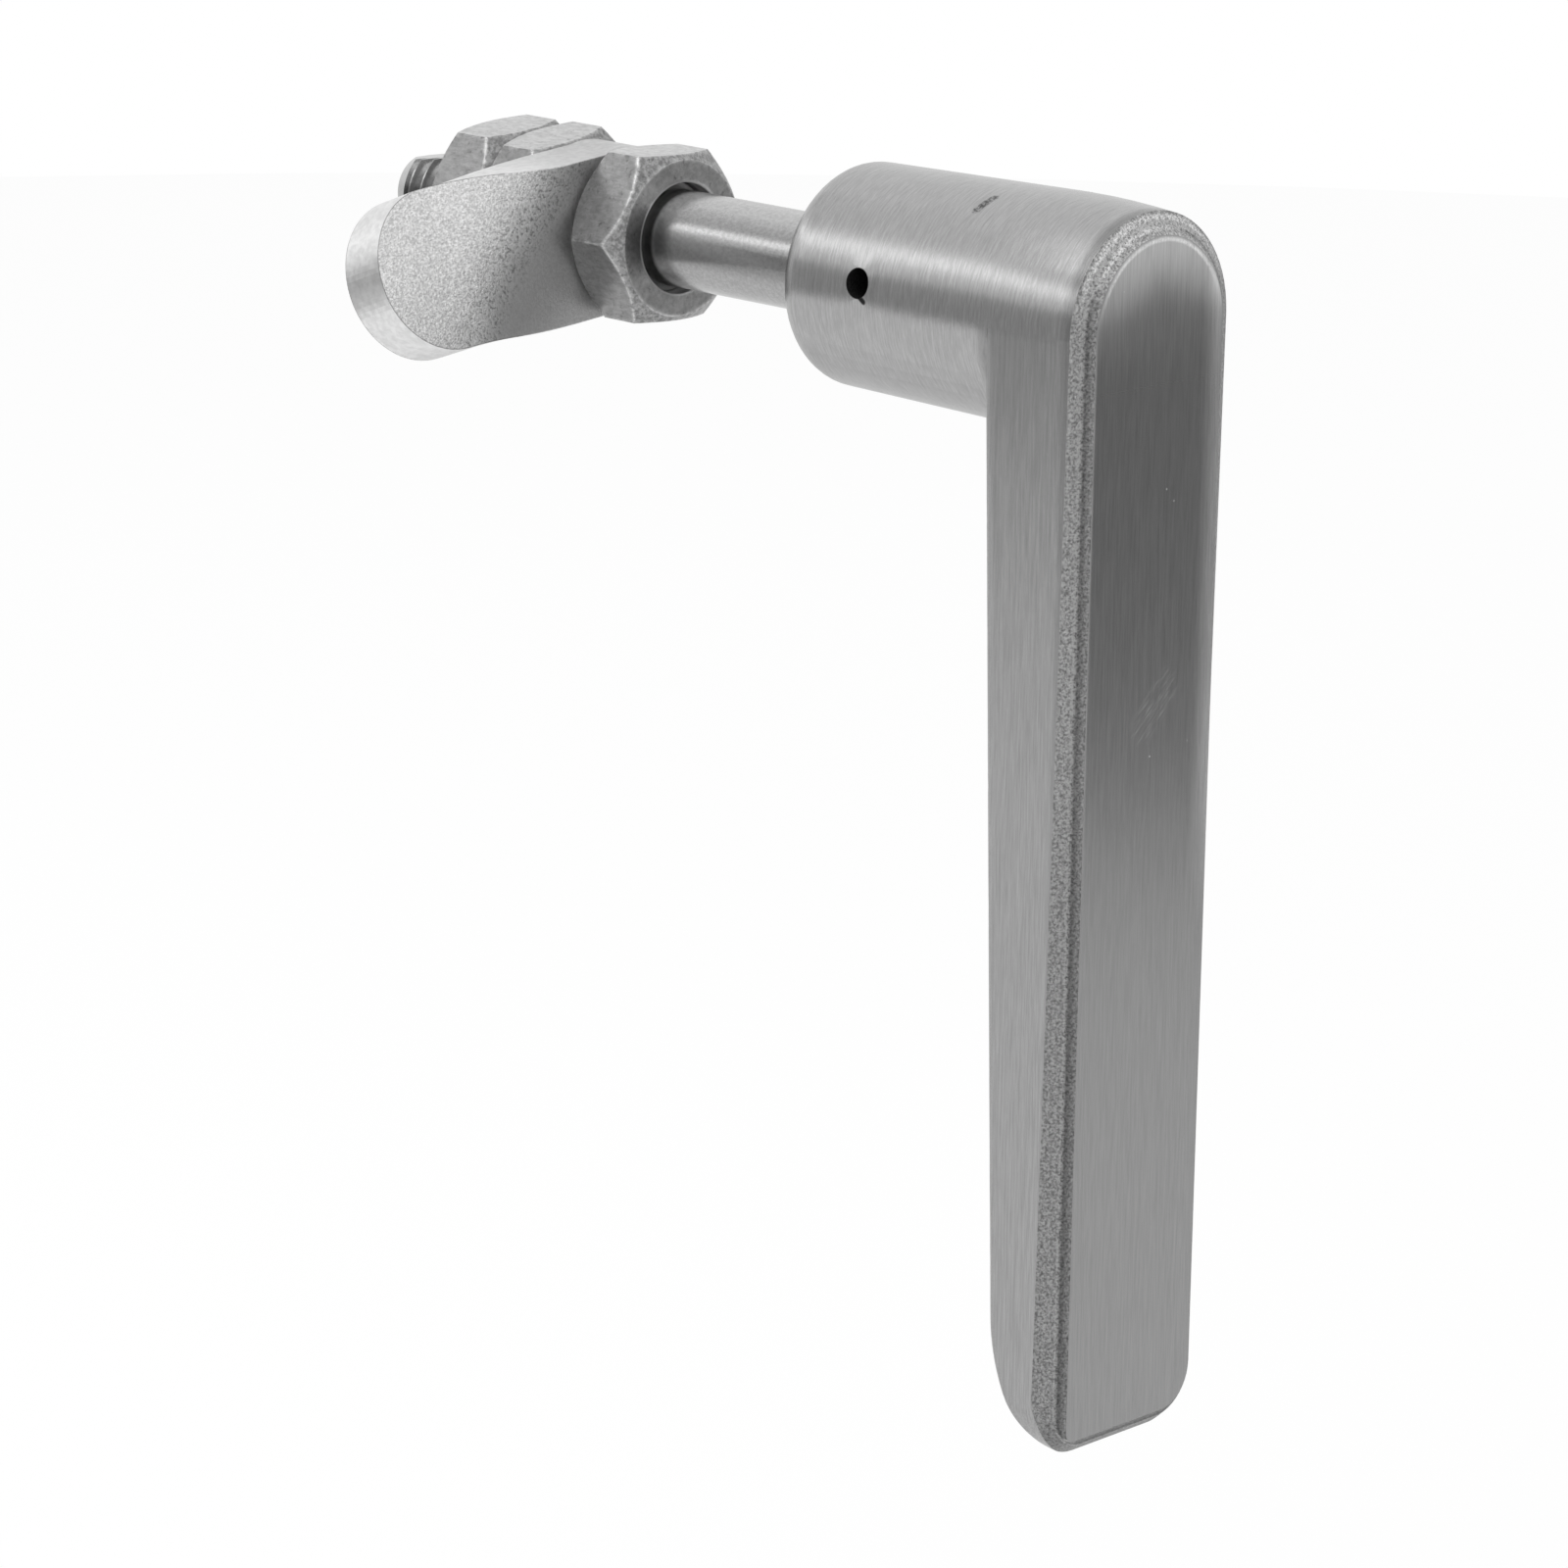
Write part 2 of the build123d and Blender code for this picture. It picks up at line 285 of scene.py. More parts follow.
# %% [markdown]
# Last come the surface itself, a bump that tilts its normal, and a helper that dresses a solid.
# Every piece is bare metal, so one Principled shader with the metallic slider at 1 serves them all.
# %% The metal surface
def metal(tree, tone, rough, normal, anisotropic=0.0, tangent=None):
    """A fully metallic surface."""
    node = tree.nodes.new("ShaderNodeBsdfPrincipled")
    node.inputs["Metallic"].default_value = 1.0
    node.inputs["Anisotropic"].default_value = anisotropic
    feeds = {"Base Color": tone, "Roughness": rough, "Normal": normal, "Tangent": tangent}
    for name, feed in feeds.items():
        if isinstance(feed, bpy.types.NodeSocket):
            tree.links.new(feed, node.inputs[name])
        elif feed is not None:
            node.inputs[name].default_value = feed
    show(tree, node.outputs[0])


def bump(tree, height, depth, strength, normal=None):
    """Tilts the normal by a height from 0 to 1 that stands for depth in millimetres."""
    node = tree.nodes.new("ShaderNodeBump")
    node.inputs["Strength"].default_value = strength
    node.inputs["Distance"].default_value = depth * MM
    tree.links.new(height, node.inputs["Height"])
    if normal is not None:
        tree.links.new(normal, node.inputs["Normal"])
    return node.outputs[0]


def dress(names, material):
    """Puts a material in the slot of each named solid."""
    for name in names:
        nodes[name].material_slots[0].material = material
    print(material.name, "on", ", ".join(names), "with", len(material.node_tree.nodes), "nodes")


print("surface tools:", metal.__name__, bump.__name__, dress.__name__)

# %% [markdown]
# The lever is one casting with three finishes. The boss was brushed around its axis, the flanks and the
# front panel up and down, and the band between them was left rough from the mould.
# Three materials on three groups of faces could show this, but the solid has a single slot.
# Masks tell the finishes apart instead: the band faces forward but lies behind the panel.
# %% Lever: masks
PANEL_Y, RIDGE_Y, LEVER_BACK_Y = -45.5, -44.55, -31.0
PANEL_SKIN, FORWARD = 0.06, -0.15
BOSS_START = (LEVER_BACK_Y - 1.0, LEVER_BACK_Y + 0.6)
TOP_START = (-0.5, 0.5)
lever_metal, tree = new_material("brushed_casting")
point, x, y, z = millimetres(tree)
face_y, face_z = face_normal(tree)
front = math_of(tree, "LESS_THAN", face_y, FORWARD)
panel = math_of(tree, "LESS_THAN", y, PANEL_Y + PANEL_SKIN)
band = math_of(tree, "SUBTRACT", front, panel)
inner = math_of(tree, "LESS_THAN", y, RIDGE_Y)
behind_or_above = math_of(tree, "MAXIMUM", ramp(tree, y, *BOSS_START), ramp(tree, z, *TOP_START))
boss = times(tree, behind_or_above, math_of(tree, "SUBTRACT", 1.0, front))
print("lever nodes so far:", len(tree.nodes))

# %% [markdown]
# Brushing shows twice: as fine streaks of light and dark, and as a highlight that is drawn out across
# the marks. The second is the shader's anisotropy, which needs the direction across the marks.
# On the lever that is across its height, and on the boss it is along its axis.
# %% Lever: brushed grain
ALONG_LEVER, AROUND_BOSS = (4.5, 4.5, 0.16), (0.45, 4.5, 0.45)
BRUSH_DETAIL, BRUSH_ROUGH = 3.0, 0.75
UP, BOSS_AXIS = (0, 0, 1), (0, 1, 0)
lever_streaks = grain(tree, point, ALONG_LEVER, BRUSH_DETAIL, BRUSH_ROUGH)
boss_streaks = grain(tree, point, AROUND_BOSS, BRUSH_DETAIL, BRUSH_ROUGH)
streaks = mix(tree, boss, lever_streaks, boss_streaks)
smooth_normal = tree.nodes.new("ShaderNodeNewGeometry").outputs["Normal"]
across_lever = put(tree, "VectorMath", smooth_normal, UP, operation="CROSS_PRODUCT")
across = put(tree, "Mix", boss, None, None, None, across_lever, BOSS_AXIS, data_type="VECTOR", out=1)
print("streaks per mm across the lever:", ALONG_LEVER[0])

# %% [markdown]
# The casting's joins are eased, and brushing rounds them further. The large fillets are in the solid; the
# small ones are a Bevel node, which bends the normal near an edge. It is wide where the boss runs into the
# lever, and only a hair at the crisp edges of the band, at the boss's back rim and around the pin's hole.
# %% Lever: soft edges
PIN_Y, PIN_ANGLE, HOLE_REACH = -12.9, math.radians(171.4), 12.7
NEAR_BAND, NEAR_BOSS_RIM, NEAR_HOLE = (-41.5, -43.0), (-8.0, -5.0), (4.0, 2.2)
SOFT_RADIUS, PANEL_RADIUS, BAND_RADIUS, SIDE_RADIUS = 1.6 * MM, 0.5 * MM, 0.25 * MM, 0.12 * MM
BEVEL_SAMPLES = 6
pin_middle = Vector((0, PIN_Y, 0))
pin_arm = Vector((math.cos(PIN_ANGLE), 0, math.sin(PIN_ANGLE))) * HOLE_REACH


def gap_to(tree, point, start, end):
    """Distance in millimetres from the point to the straight line between two ends."""
    run = end - start
    step = tuple(run / run.length_squared)
    from_start = put(tree, "VectorMath", point, tuple(start), operation="SUBTRACT")
    along = put(tree, "VectorMath", from_start, step, operation="DOT_PRODUCT", out=1)
    within = put(tree, "Clamp", along, 0.0, 1.0)
    foot = put(tree, "VectorMath", tuple(run), None, None, within, operation="SCALE")
    return put(tree, "VectorMath", from_start, foot, operation="DISTANCE", out=1)


from_hole = gap_to(tree, point, pin_middle + pin_arm, pin_middle - pin_arm)
crisp = math_of(tree, "MAXIMUM", ramp(tree, y, *NEAR_BAND), ramp(tree, y, *NEAR_BOSS_RIM))
crisp = math_of(tree, "MAXIMUM", crisp, ramp(tree, from_hole, *NEAR_HOLE))
hair = mix(tree, panel, mix(tree, front, SIDE_RADIUS, BAND_RADIUS), PANEL_RADIUS)
eased = put(tree, "Bevel", mix(tree, crisp, SOFT_RADIUS, hair), samples=BEVEL_SAMPLES)
print("pin hole's left end:", [round(v, 2) for v in pin_middle + pin_arm])

# %% [markdown]
# The brush pressed harder near the top of the panel, which rolls off there towards its round head.
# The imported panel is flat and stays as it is, so only its normal leans outwards: upwards over the whole
# head, and sideways on its left. The lean grows with the distance from the spindle's axis, as on a dome.
# %% Lever: the panel's roll-off
LEAN_A_MM, SIDE_SHARE, EDGE_SHARE = 0.050, 0.4, 0.45
LEAN_REACH = 7.0
HEAD_START = (-8.0, 5.0)
at_head = ramp(tree, z, *HEAD_START)
sideways = times(tree, math_of(tree, "MINIMUM", x, 0.0), at_head, SIDE_SHARE)
off_centre = math_of(tree, "MINIMUM", math_of(tree, "ABSOLUTE", x), LEAN_REACH)
at_edges = times(tree, off_centre, at_head, EDGE_SHARE)
upwards = math_of(tree, "ADD", at_edges, math_of(tree, "MAXIMUM", z, 0.0))
outward = put(tree, "CombineXYZ", sideways, 0.0, upwards)
lean = times(tree, panel, LEAN_A_MM)
tilt = put(tree, "VectorMath", outward, None, None, lean, operation="SCALE")
leaned = put(tree, "VectorMath", eased, tilt, operation="ADD")
base_normal = put(tree, "VectorMath", leaned, operation="NORMALIZE")
print("panel's lean for each mm above the axis:", LEAN_A_MM)

# %% [markdown]
# The band kept the grit of its mould: pits and grains of a third of a millimetre. Such grit could be
# displaced geometry, but at this size a bump is enough. The same noise lifts the surface here and greys it
# further on, so that the dark spots are the low ones.
# %% Lever: grit of the mould
GRIT = (3.4, 3.4, 3.4)
RUB_DEPTH, RUB_STRENGTH = 0.02, 0.6
GRIT_DEPTH, GRIT_STRENGTH = 0.35, 0.8
grit = grain(tree, point, GRIT, 3.0, 0.7)
rubbed = bump(tree, streaks, RUB_DEPTH, RUB_STRENGTH, base_normal)
rough_normal = bump(tree, times(tree, grit, band), GRIT_DEPTH, GRIT_STRENGTH, rubbed)
print("grit per mm:", GRIT[0], "and its depth in mm:", GRIT_DEPTH)

# %% [markdown]
# Handling left marks: a dark nick on top of the boss and a burr that trails from the pin's hole. A painted
# mask would need an image, so each mark is a stroke: it is there where the point lies close to a line.
# The grit breaks up the nick. The inside of the hole gets painted shade, by its distance from the hole's
# axis.
# %% Lever: nick, burr and hole
NICK, NICK_WIDTH = ((-6.8, -25.06, 10.74), (-4.7, -25.5, 11.8)), 0.75
BURR, BURR_WIDTH = ((-12.7, -13.0, 0.7), (-12.75, -14.0, 0.0)), 0.42
HOLE_EDGE = (1.72, 1.66)


def stroke(tree, point, ends, width):
    """1 on a straight stroke between two points in millimetres, and 0 away from it."""
    start, end = ends
    return ramp(tree, gap_to(tree, point, Vector(start), Vector(end)), width, width * 0.5)


nick = times(tree, stroke(tree, point, NICK, NICK_WIDTH), ramp(tree, grit, 0.43, 0.53, 0.2, 0.88))
burr = stroke(tree, point, BURR, BURR_WIDTH)
# Painted shade inside the pin's hole.
hole_shade = ramp(tree, from_hole, *HOLE_EDGE)
marks_and_hole_shade = math_of(tree, "MAXIMUM", math_of(tree, "MAXIMUM", nick, burr), hole_shade)
print("nick from", NICK[0], "to", NICK[1])

# %% [markdown]
# The panel has a patch of fine slanting scratches and a few bright specks. The scratches are stretched noise
# in coordinates that are turned first; the specks are the centres of widely spaced Voronoi cells.
# %% Lever: scratches and specks
PATCH, PATCH_WIDTH = ((-0.9, PANEL_Y, -43.2), (2.6, PANEL_Y, -39.4)), 2.6
SLANT, HATCH = math.radians(-48), (6.0, 1.0, 0.55)
SPECKS_A_MM, SPECK_SIZE, SPECKS_START = 0.22, (0.035, 0.015), (-60.0, -45.0)
slanted = put(tree, "Mapping", point, None, (0, SLANT, 0))
hatch = ramp(tree, grain(tree, slanted, HATCH, 3.0), 0.45, 0.7)
scratches = times(tree, stroke(tree, point, PATCH, PATCH_WIDTH), hatch, panel)
from_centre = put(tree, "TexVoronoi", point, None, SPECKS_A_MM, feature="F1")
specks = times(tree, panel, ramp(tree, from_centre, *SPECK_SIZE), ramp(tree, z, *SPECKS_START))
print("lever nodes so far:", len(tree.nodes))

# %% [markdown]
# The boss and the flanks are the same brushed steel. Painted shade lowers the tone a little under the boss,
# at the lever's back edge, most near the boss, and along the band.
# One flat tone would be simpler, but bare metal shows its corners mostly by such small changes.
# %% Lever: boss and flanks
FLANK_TONE, BOSS_TONE, UNDER_SHADE_TONE = 0.355, 0.40, 0.32
HEEL, HEEL_SHADE_FACTORS = (-24.0, -4.0), (0.92, 0.80)
BACK_EDGE = (LEVER_BACK_Y - 3.0, LEVER_BACK_Y - 0.6)
UNDERSIDE = (-0.35, -0.85)
BESIDE_BAND, BAND_SHADE_FACTORS = (RIDGE_Y + 2.1, RIDGE_Y + 1.0), (1.0, 0.80)
AROUND_HEAD, HEAD_SHADE_FACTORS = (RIDGE_Y + 2.4, RIDGE_Y + 1.2), (1.0, 0.66)
FLANK_TO_HEAD = (0.0, 7.0)
# Painted shade along the lever's back edge, deepest near the boss.
heel_shaded_tone = times(tree, ramp(tree, z, *HEEL, *HEEL_SHADE_FACTORS), FLANK_TONE)
flank = mix(tree, ramp(tree, y, *BACK_EDGE), FLANK_TONE, heel_shaded_tone)
# Faces under the boss get a painted shade.
sides = mix(tree, boss, flank, ramp(tree, face_z, *UNDERSIDE, BOSS_TONE, UNDER_SHADE_TONE))
# Painted shade along the band, beside the flanks and round the head.
shade_by_flank = ramp(tree, y, *BESIDE_BAND, *BAND_SHADE_FACTORS)
shade_by_head = ramp(tree, y, *AROUND_HEAD, *HEAD_SHADE_FACTORS)
sides = times(tree, sides, mix(tree, ramp(tree, z, *FLANK_TO_HEAD), shade_by_flank, shade_by_head))
print("boss and flank tones:", BOSS_TONE, FLANK_TONE)

# %% [markdown]
# The panel is brushed too. Painted light makes it brighter towards its head and along its right edge, and a
# thin painted highlight, the lip, runs round the head, with painted shade on the verge outside it. The lip
# could be a real bead, but it is only a few tenths of a millimetre wide. It is a ring of one radius, because
# the head is round about the spindle's axis.
# %% Lever: panel
PANEL_TONE, HEAD_HIGHLIGHT_TONE, LIP_HIGHLIGHT_TONE = 0.30, 0.46, 0.72
HEAD_RISE = (1.0, 10.0)
FRINGE_X, FRINGE_Z, FRINGE_HIGHLIGHT_FACTOR = (6.5, 10.3), (-70.0, -40.0), 2.2
LIP_RADIUS, LIP_WIDTH, LIP_Z = 9.6, (0.34, 0.04), (1.0, 8.0)
VERGE, VERGE_Z, VERGE_SHADE_FACTOR = (LIP_RADIUS + 0.25, LIP_RADIUS + 0.45), (-1.0, 4.0), 0.7
# Painted highlight towards the head, and below it along the right edge.
rolled = ramp(tree, z, *HEAD_RISE, PANEL_TONE, HEAD_HIGHLIGHT_TONE)
fringe_highlight = times(tree, ramp(tree, x, *FRINGE_X), ramp(tree, z, *FRINGE_Z))
rolled = tint(tree, rolled, fringe_highlight, FRINGE_HIGHLIGHT_FACTOR)
from_axis = from_spindle(tree, x, z)[1]
from_lip = away_from(tree, from_axis, LIP_RADIUS)
# Painted highlight: the thin lip round the head.
lip_highlight = times(tree, ramp(tree, from_lip, *LIP_WIDTH), ramp(tree, z, *LIP_Z))
lip_highlight = times(tree, lip_highlight, ramp(tree, grit, 0.3, 0.6, 0.4, 1.0))
rolled = mix(tree, lip_highlight, rolled, LIP_HIGHLIGHT_TONE)
# Painted shade: the dark verge outside the lip.
verge_shade = times(tree, ramp(tree, from_axis, *VERGE), ramp(tree, z, *VERGE_Z))
rolled = tint(tree, rolled, verge_shade, VERGE_SHADE_FACTOR)
print("panel tone", PANEL_TONE, "and at its head", HEAD_HIGHLIGHT_TONE)

# %% [markdown]
# The streaks of the brush make these tones uneven, a little lighter and darker in turn. They are faintest
# low on the panel. A bump alone would show them only where a highlight falls.
# %% Lever: streaks in the tone
SIDE_STREAKS, LOW_STREAKS, PANEL_STREAKS = 0.16, 0.09, 0.15
STREAK_RISE = (-65.0, -40.0)
strength = mix(tree, panel, SIDE_STREAKS, ramp(tree, z, *STREAK_RISE, LOW_STREAKS, PANEL_STREAKS))
uneven = math_of(tree, "MULTIPLY_ADD", ramp(tree, streaks, 0.2, 0.8, -1.0, 1.0), strength, 1.0)
bare = times(tree, mix(tree, panel, sides, rolled), uneven)
print("streaks change the tone by up to", SIDE_STREAKS)

# %% [markdown]
# The band's two bevels meet in a ridge. The outer one is lighter and the inner one, a gutter, is darker, with
# painted shade next to the ridge. Both get painted light around the top, where they face up, and painted
# shade where they face down, and both are a little darker towards the foot. Around the top the outer bevel
# has a painted highlight, the crest, and a painted shadow along its border. The bevels are real faces; only
# their tones are made here.
# %% Lever: rough band
OUTER_TONE, GUTTER_TONE = 0.33, 0.20
GUTTER, GUTTER_SHADE_FACTORS = (RIDGE_Y - 0.15, PANEL_Y + 0.1), (0.70, 1.30)
CREST_Y, CREST_WIDTH, CREST_HIGHLIGHT_FACTOR = RIDGE_Y + 0.35, (0.22, 0.06), 1.4
BORDER, BORDER_SHADE_FACTOR = (RIDGE_Y + 0.5, RIDGE_Y + 0.7), 0.75
TURNED_UP, TURNED_DOWN, TOP_ARC = (0.0, 0.6), (-0.1, -0.5), (0.05, 0.25)
OUTER_LIGHT_LIFT, GUTTER_LIGHT_LIFT, DOWN_SHADE_FACTORS = 1.45, 1.75, (1.0, 0.78)
FOOT, FOOT_FACTORS = (-45.0, -65.0), (1.0, 0.88)
# Painted shade in the gutter next to the ridge.
gutter = times(tree, ramp(tree, y, *GUTTER, *GUTTER_SHADE_FACTORS), GUTTER_TONE)
cast = times(tree, mix(tree, inner, OUTER_TONE, gutter), ramp(tree, grit, 0.3, 0.7, 0.5, 1.5))
# Painted light where the bevels face up, painted shade where they face down.
lit_facing_up = ramp(tree, face_z, *TURNED_UP, 1.0, mix(tree, inner, OUTER_LIGHT_LIFT, GUTTER_LIGHT_LIFT))
shaded_facing_down = ramp(tree, face_z, *TURNED_DOWN, *DOWN_SHADE_FACTORS)
cast = times(tree, cast, lit_facing_up, shaded_facing_down, ramp(tree, z, *FOOT, *FOOT_FACTORS))
at_top = ramp(tree, face_z, *TOP_ARC)
# Painted highlight: the crest of the outer bevel.
crest_highlight = times(tree, ramp(tree, away_from(tree, y, CREST_Y), *CREST_WIDTH), at_top)
# Painted shadow along the outer border.
border_shade = times(tree, ramp(tree, y, *BORDER), at_top)
cast = tint(tree, tint(tree, cast, crest_highlight, CREST_HIGHLIGHT_FACTOR), border_shade, BORDER_SHADE_FACTOR)
print("band tones:", OUTER_TONE, GUTTER_TONE)

# %% [markdown]
# The ridge carries a painted highlight, brighter than the bevels and brighter still where it faces up, and
# broken up by the grit. Around the top left a second painted highlight, a bright bead, runs just inside the
# ridge.
# Both are soft lines: a mask around one depth of the band.
# %% Lever: ridge and bead
RIDGE_HIGHLIGHT_TONE, TOP_RIDGE_HIGHLIGHT_TONE, BEAD_HIGHLIGHT_TONE = 0.42, 0.60, 0.78
RIDGE_WIDTH = (0.26, 0.05)
BEAD_Y, BEAD_WIDTH, BEAD_X, BEAD_ARC = RIDGE_Y - 0.30, (0.30, 0.03), (6.0, -1.0), (0.2, 0.45)
# Painted highlight on the ridge, brighter where it faces up.
ridge_highlight = ramp(tree, away_from(tree, y, RIDGE_Y), *RIDGE_WIDTH)
ridge_highlight = times(tree, ridge_highlight, ramp(tree, grit, 0.35, 0.6, 0.1, 0.8))
cast = mix(tree, ridge_highlight, cast, ramp(tree, face_z, *TURNED_UP, RIDGE_HIGHLIGHT_TONE, TOP_RIDGE_HIGHLIGHT_TONE))
# Painted highlight: the bead just inside the ridge.
bead_highlight = ramp(tree, away_from(tree, y, BEAD_Y), *BEAD_WIDTH)
bead_highlight = times(tree, bead_highlight, ramp(tree, grit, 0.36, 0.6, 0.15, 1.0))
bead_highlight = times(tree, bead_highlight, ramp(tree, face_z, *BEAD_ARC), ramp(tree, x, *BEAD_X))
cast = mix(tree, bead_highlight, cast, BEAD_HIGHLIGHT_TONE)
print("ridge at", RIDGE_Y, "mm, bead at", BEAD_Y, "mm")

# %% [markdown]
# Now the parts of the lever's metal come together: brushed steel and rough band first, then the marks and
# the hole's painted shade on top. The brushed steel is the smoother one, except at the panel's head, which is
# dulled by rubbing.
# %% Lever: the metal
SCRATCH_TONE, SCRATCH_SHARE, SPECK_TONE, MARK_AND_SHADE_TONE = 0.75, 0.28, 0.75, 0.03
BRUSHED_ROUGH, HEAD_ROUGH, BAND_ROUGH = 0.26, 0.46, 0.44
DRAWN_OUT = 0.7
tone = mix(tree, band, bare, cast)
tone = mix(tree, times(tree, scratches, SCRATCH_SHARE), tone, SCRATCH_TONE)
tone = mix(tree, specks, tone, SPECK_TONE)
# The nick and the burr are marks; the hole's dark inside is painted shade.
tone = mix(tree, marks_and_hole_shade, tone, MARK_AND_SHADE_TONE)
brushed_rough = mix(tree, times(tree, panel, at_head), BRUSHED_ROUGH, HEAD_ROUGH)
lever_rough = mix(tree, band, brushed_rough, BAND_ROUGH)
metal(tree, tone, lever_rough, rough_normal, DRAWN_OUT, across)
dress(["lever_handle"], lever_metal)

# %% [markdown]
# The jam nuts are plain rolled steel, handled a good deal: dull grey and pitted on the flats, dented on the
# chamfers and rubbed bright on the edges. Flats that face up are lighter, a painted light from above.
# The worn edges could be bevelled faces, but the solids stay as they are. Comparing the normal of a Bevel
# node with the true one finds the edges in the shading.
# %% Jam nuts: flats and chamfers
FLAT_TONE, UPPER_LIT_TONE, END_TONE = 0.26, 0.52, 0.42
UPPER, END_ON, CHAMFER_ON = (0.6, 0.95), (-0.9, -0.98), -0.3
NUT_EDGE = 0.7


def edge_wear(tree, radius):
    """1 on an edge of the mesh, fading to 0 within the radius in millimetres, and the rounded normal."""
    bent = put(tree, "Bevel", radius * MM, samples=BEVEL_SAMPLES)
    true = tree.nodes.new("ShaderNodeNewGeometry").outputs["True Normal"]
    same = put(tree, "VectorMath", bent, true, operation="DOT_PRODUCT", out=1)
    return ramp(tree, same, 0.995, 0.90), bent


nut_metal, tree = new_material("dull_nut_steel")
point, x, y, z = millimetres(tree)
face_y, face_z = face_normal(tree)
worn, rounded = edge_wear(tree, NUT_EDGE)
end_face = ramp(tree, face_y, *END_ON)
chamfer = math_of(tree, "SUBTRACT", math_of(tree, "LESS_THAN", face_y, CHAMFER_ON), end_face)
scale = grain(tree, point, (1.7, 0.8, 1.7), 4.0, 0.7)
pits = ramp(tree, grain(tree, point, (1.3, 1.3, 1.3), 4.0, 0.7), 0.58, 0.68, 1.0, 0.62)
dents = ramp(tree, grain(tree, point, (1.5, 1.5, 1.5), 3.0, 0.75), 0.38, 0.62, 0.72, 1.32)
# Painted light: the flats that face up are lighter.
lit_flats = mix(tree, ramp(tree, face_z, *UPPER), FLAT_TONE, UPPER_LIT_TONE)
dull = times(tree, mix(tree, end_face, lit_flats, END_TONE), ramp(tree, scale, 0.25, 0.75, 0.78, 1.22), pits)
dull = tint(tree, dull, chamfer, dents)
print("nut tones:", FLAT_TONE, UPPER_LIT_TONE, END_TONE)

# %% [markdown]
# The wear stops short of the bore, whose edge no hand reaches. The end face gets painted shade on its left,
# more so towards the bore, and the bore itself is bright where its thread was cut.
# The arm from the axis gives both: its length finds the bore, and its direction finds the left.
# %% Jam nuts: wear and painted shade
WEAR_TONE, BORE_TONE = 0.7, 0.6
BORE_EDGE, WEAR_START = (6.7, 6.5), (7.6, 8.4)
NUT_SHADE_ANGLE = math.radians(175)
NUT_SHADE_SPREAD, NUT_SHADE_RADII, NUT_SHADE_FACTORS = (0.78, 0.99), (8.8, 6.8), (0.52, 0.30)
SCUFFS, SCUFF_DEPTH, SCUFF_STRENGTH = (5.0, 0.5, 5.0), 0.03, 0.5
arm, from_axis = from_spindle(tree, x, z)
chipped = times(tree, worn, ramp(tree, scale, 0.38, 0.58, 0.15, 1.0), ramp(tree, from_axis, *WEAR_START))
tone = mix(tree, chipped, dull, WEAR_TONE)
arm_way = put(tree, "VectorMath", arm, operation="NORMALIZE")
nut_shade_way = (math.cos(NUT_SHADE_ANGLE), 0.0, math.sin(NUT_SHADE_ANGLE))
leftward = put(tree, "VectorMath", arm_way, nut_shade_way, operation="DOT_PRODUCT", out=1)
# Painted shade on the left of each end face, deepest near the bore.
nut_left_shade = times(tree, ramp(tree, leftward, *NUT_SHADE_SPREAD), end_face)
tone = tint(tree, tone, nut_left_shade, ramp(tree, from_axis, *NUT_SHADE_RADII, *NUT_SHADE_FACTORS))
tone = mix(tree, ramp(tree, from_axis, *BORE_EDGE), tone, BORE_TONE)
scuffs = grain(tree, point, SCUFFS, 2.0)
nut_rough = mix(tree, scuffs, 0.26, 0.42)
metal(tree, tone, nut_rough, bump(tree, scuffs, SCUFF_DEPTH, SCUFF_STRENGTH, rounded))
dress(["front_jam_nut", "inner_jam_nut", "outer_jam_nut"], nut_metal)

# %% [markdown]
# The latch tongue was blasted with grit, which leaves a bright sparkle of tiny dents. The front nut shielded
# the hub, so the blasting thins out towards it, with a belt of dark pits between the two. The tone also
# falls towards the nut, partly smoother metal and partly a painted shadow of the nut.
# One measure drives all of this, the slanted distance from the nut, so the changes keep in step.
# %% Latch tongue: blasted flats
HUB_SHADED_TONE, BLASTED_TONE, PIT_FACTOR = 0.54, 0.74, 0.55
SHADOW_SLANT = 0.9
BLAST_RISE, TONE_RISE, BELT_START, BELT_END = (12.0, 22.0), (13.0, 26.0), (12.0, 16.0), (23.0, 18.0)
DENTS, FLAT_ON = (2.9, 2.9, 2.9), (0.45, 0.6)
tongue_metal, tree = new_material("blasted_steel")
point, x, y, z = millimetres(tree)
face_y, face_z = face_normal(tree)
flat = ramp(tree, math_of(tree, "ABSOLUTE", face_y), *FLAT_ON)
from_nut = math_of(tree, "SUBTRACT", times(tree, z, SHADOW_SLANT), x)
blasted = ramp(tree, from_nut, *BLAST_RISE, 0.35, 1.0)
dents = grain(tree, point, DENTS, 3.0, 0.75)
sparkle = ramp(tree, dents, 0.3, 0.7, 0.74, 1.28)
# Partly a painted shadow of the front nut, darker towards the hub.
tone = ramp(tree, from_nut, *TONE_RISE, HUB_SHADED_TONE, BLASTED_TONE)
tone = tint(tree, tone, times(tree, blasted, flat), sparkle)
belt = times(tree, ramp(tree, from_nut, *BELT_START), ramp(tree, from_nut, *BELT_END))
tone = tint(tree, tone, times(tree, belt, flat, ramp(tree, dents, 0.46, 0.38)), PIT_FACTOR)
print("tongue tones:", HUB_SHADED_TONE, BLASTED_TONE)

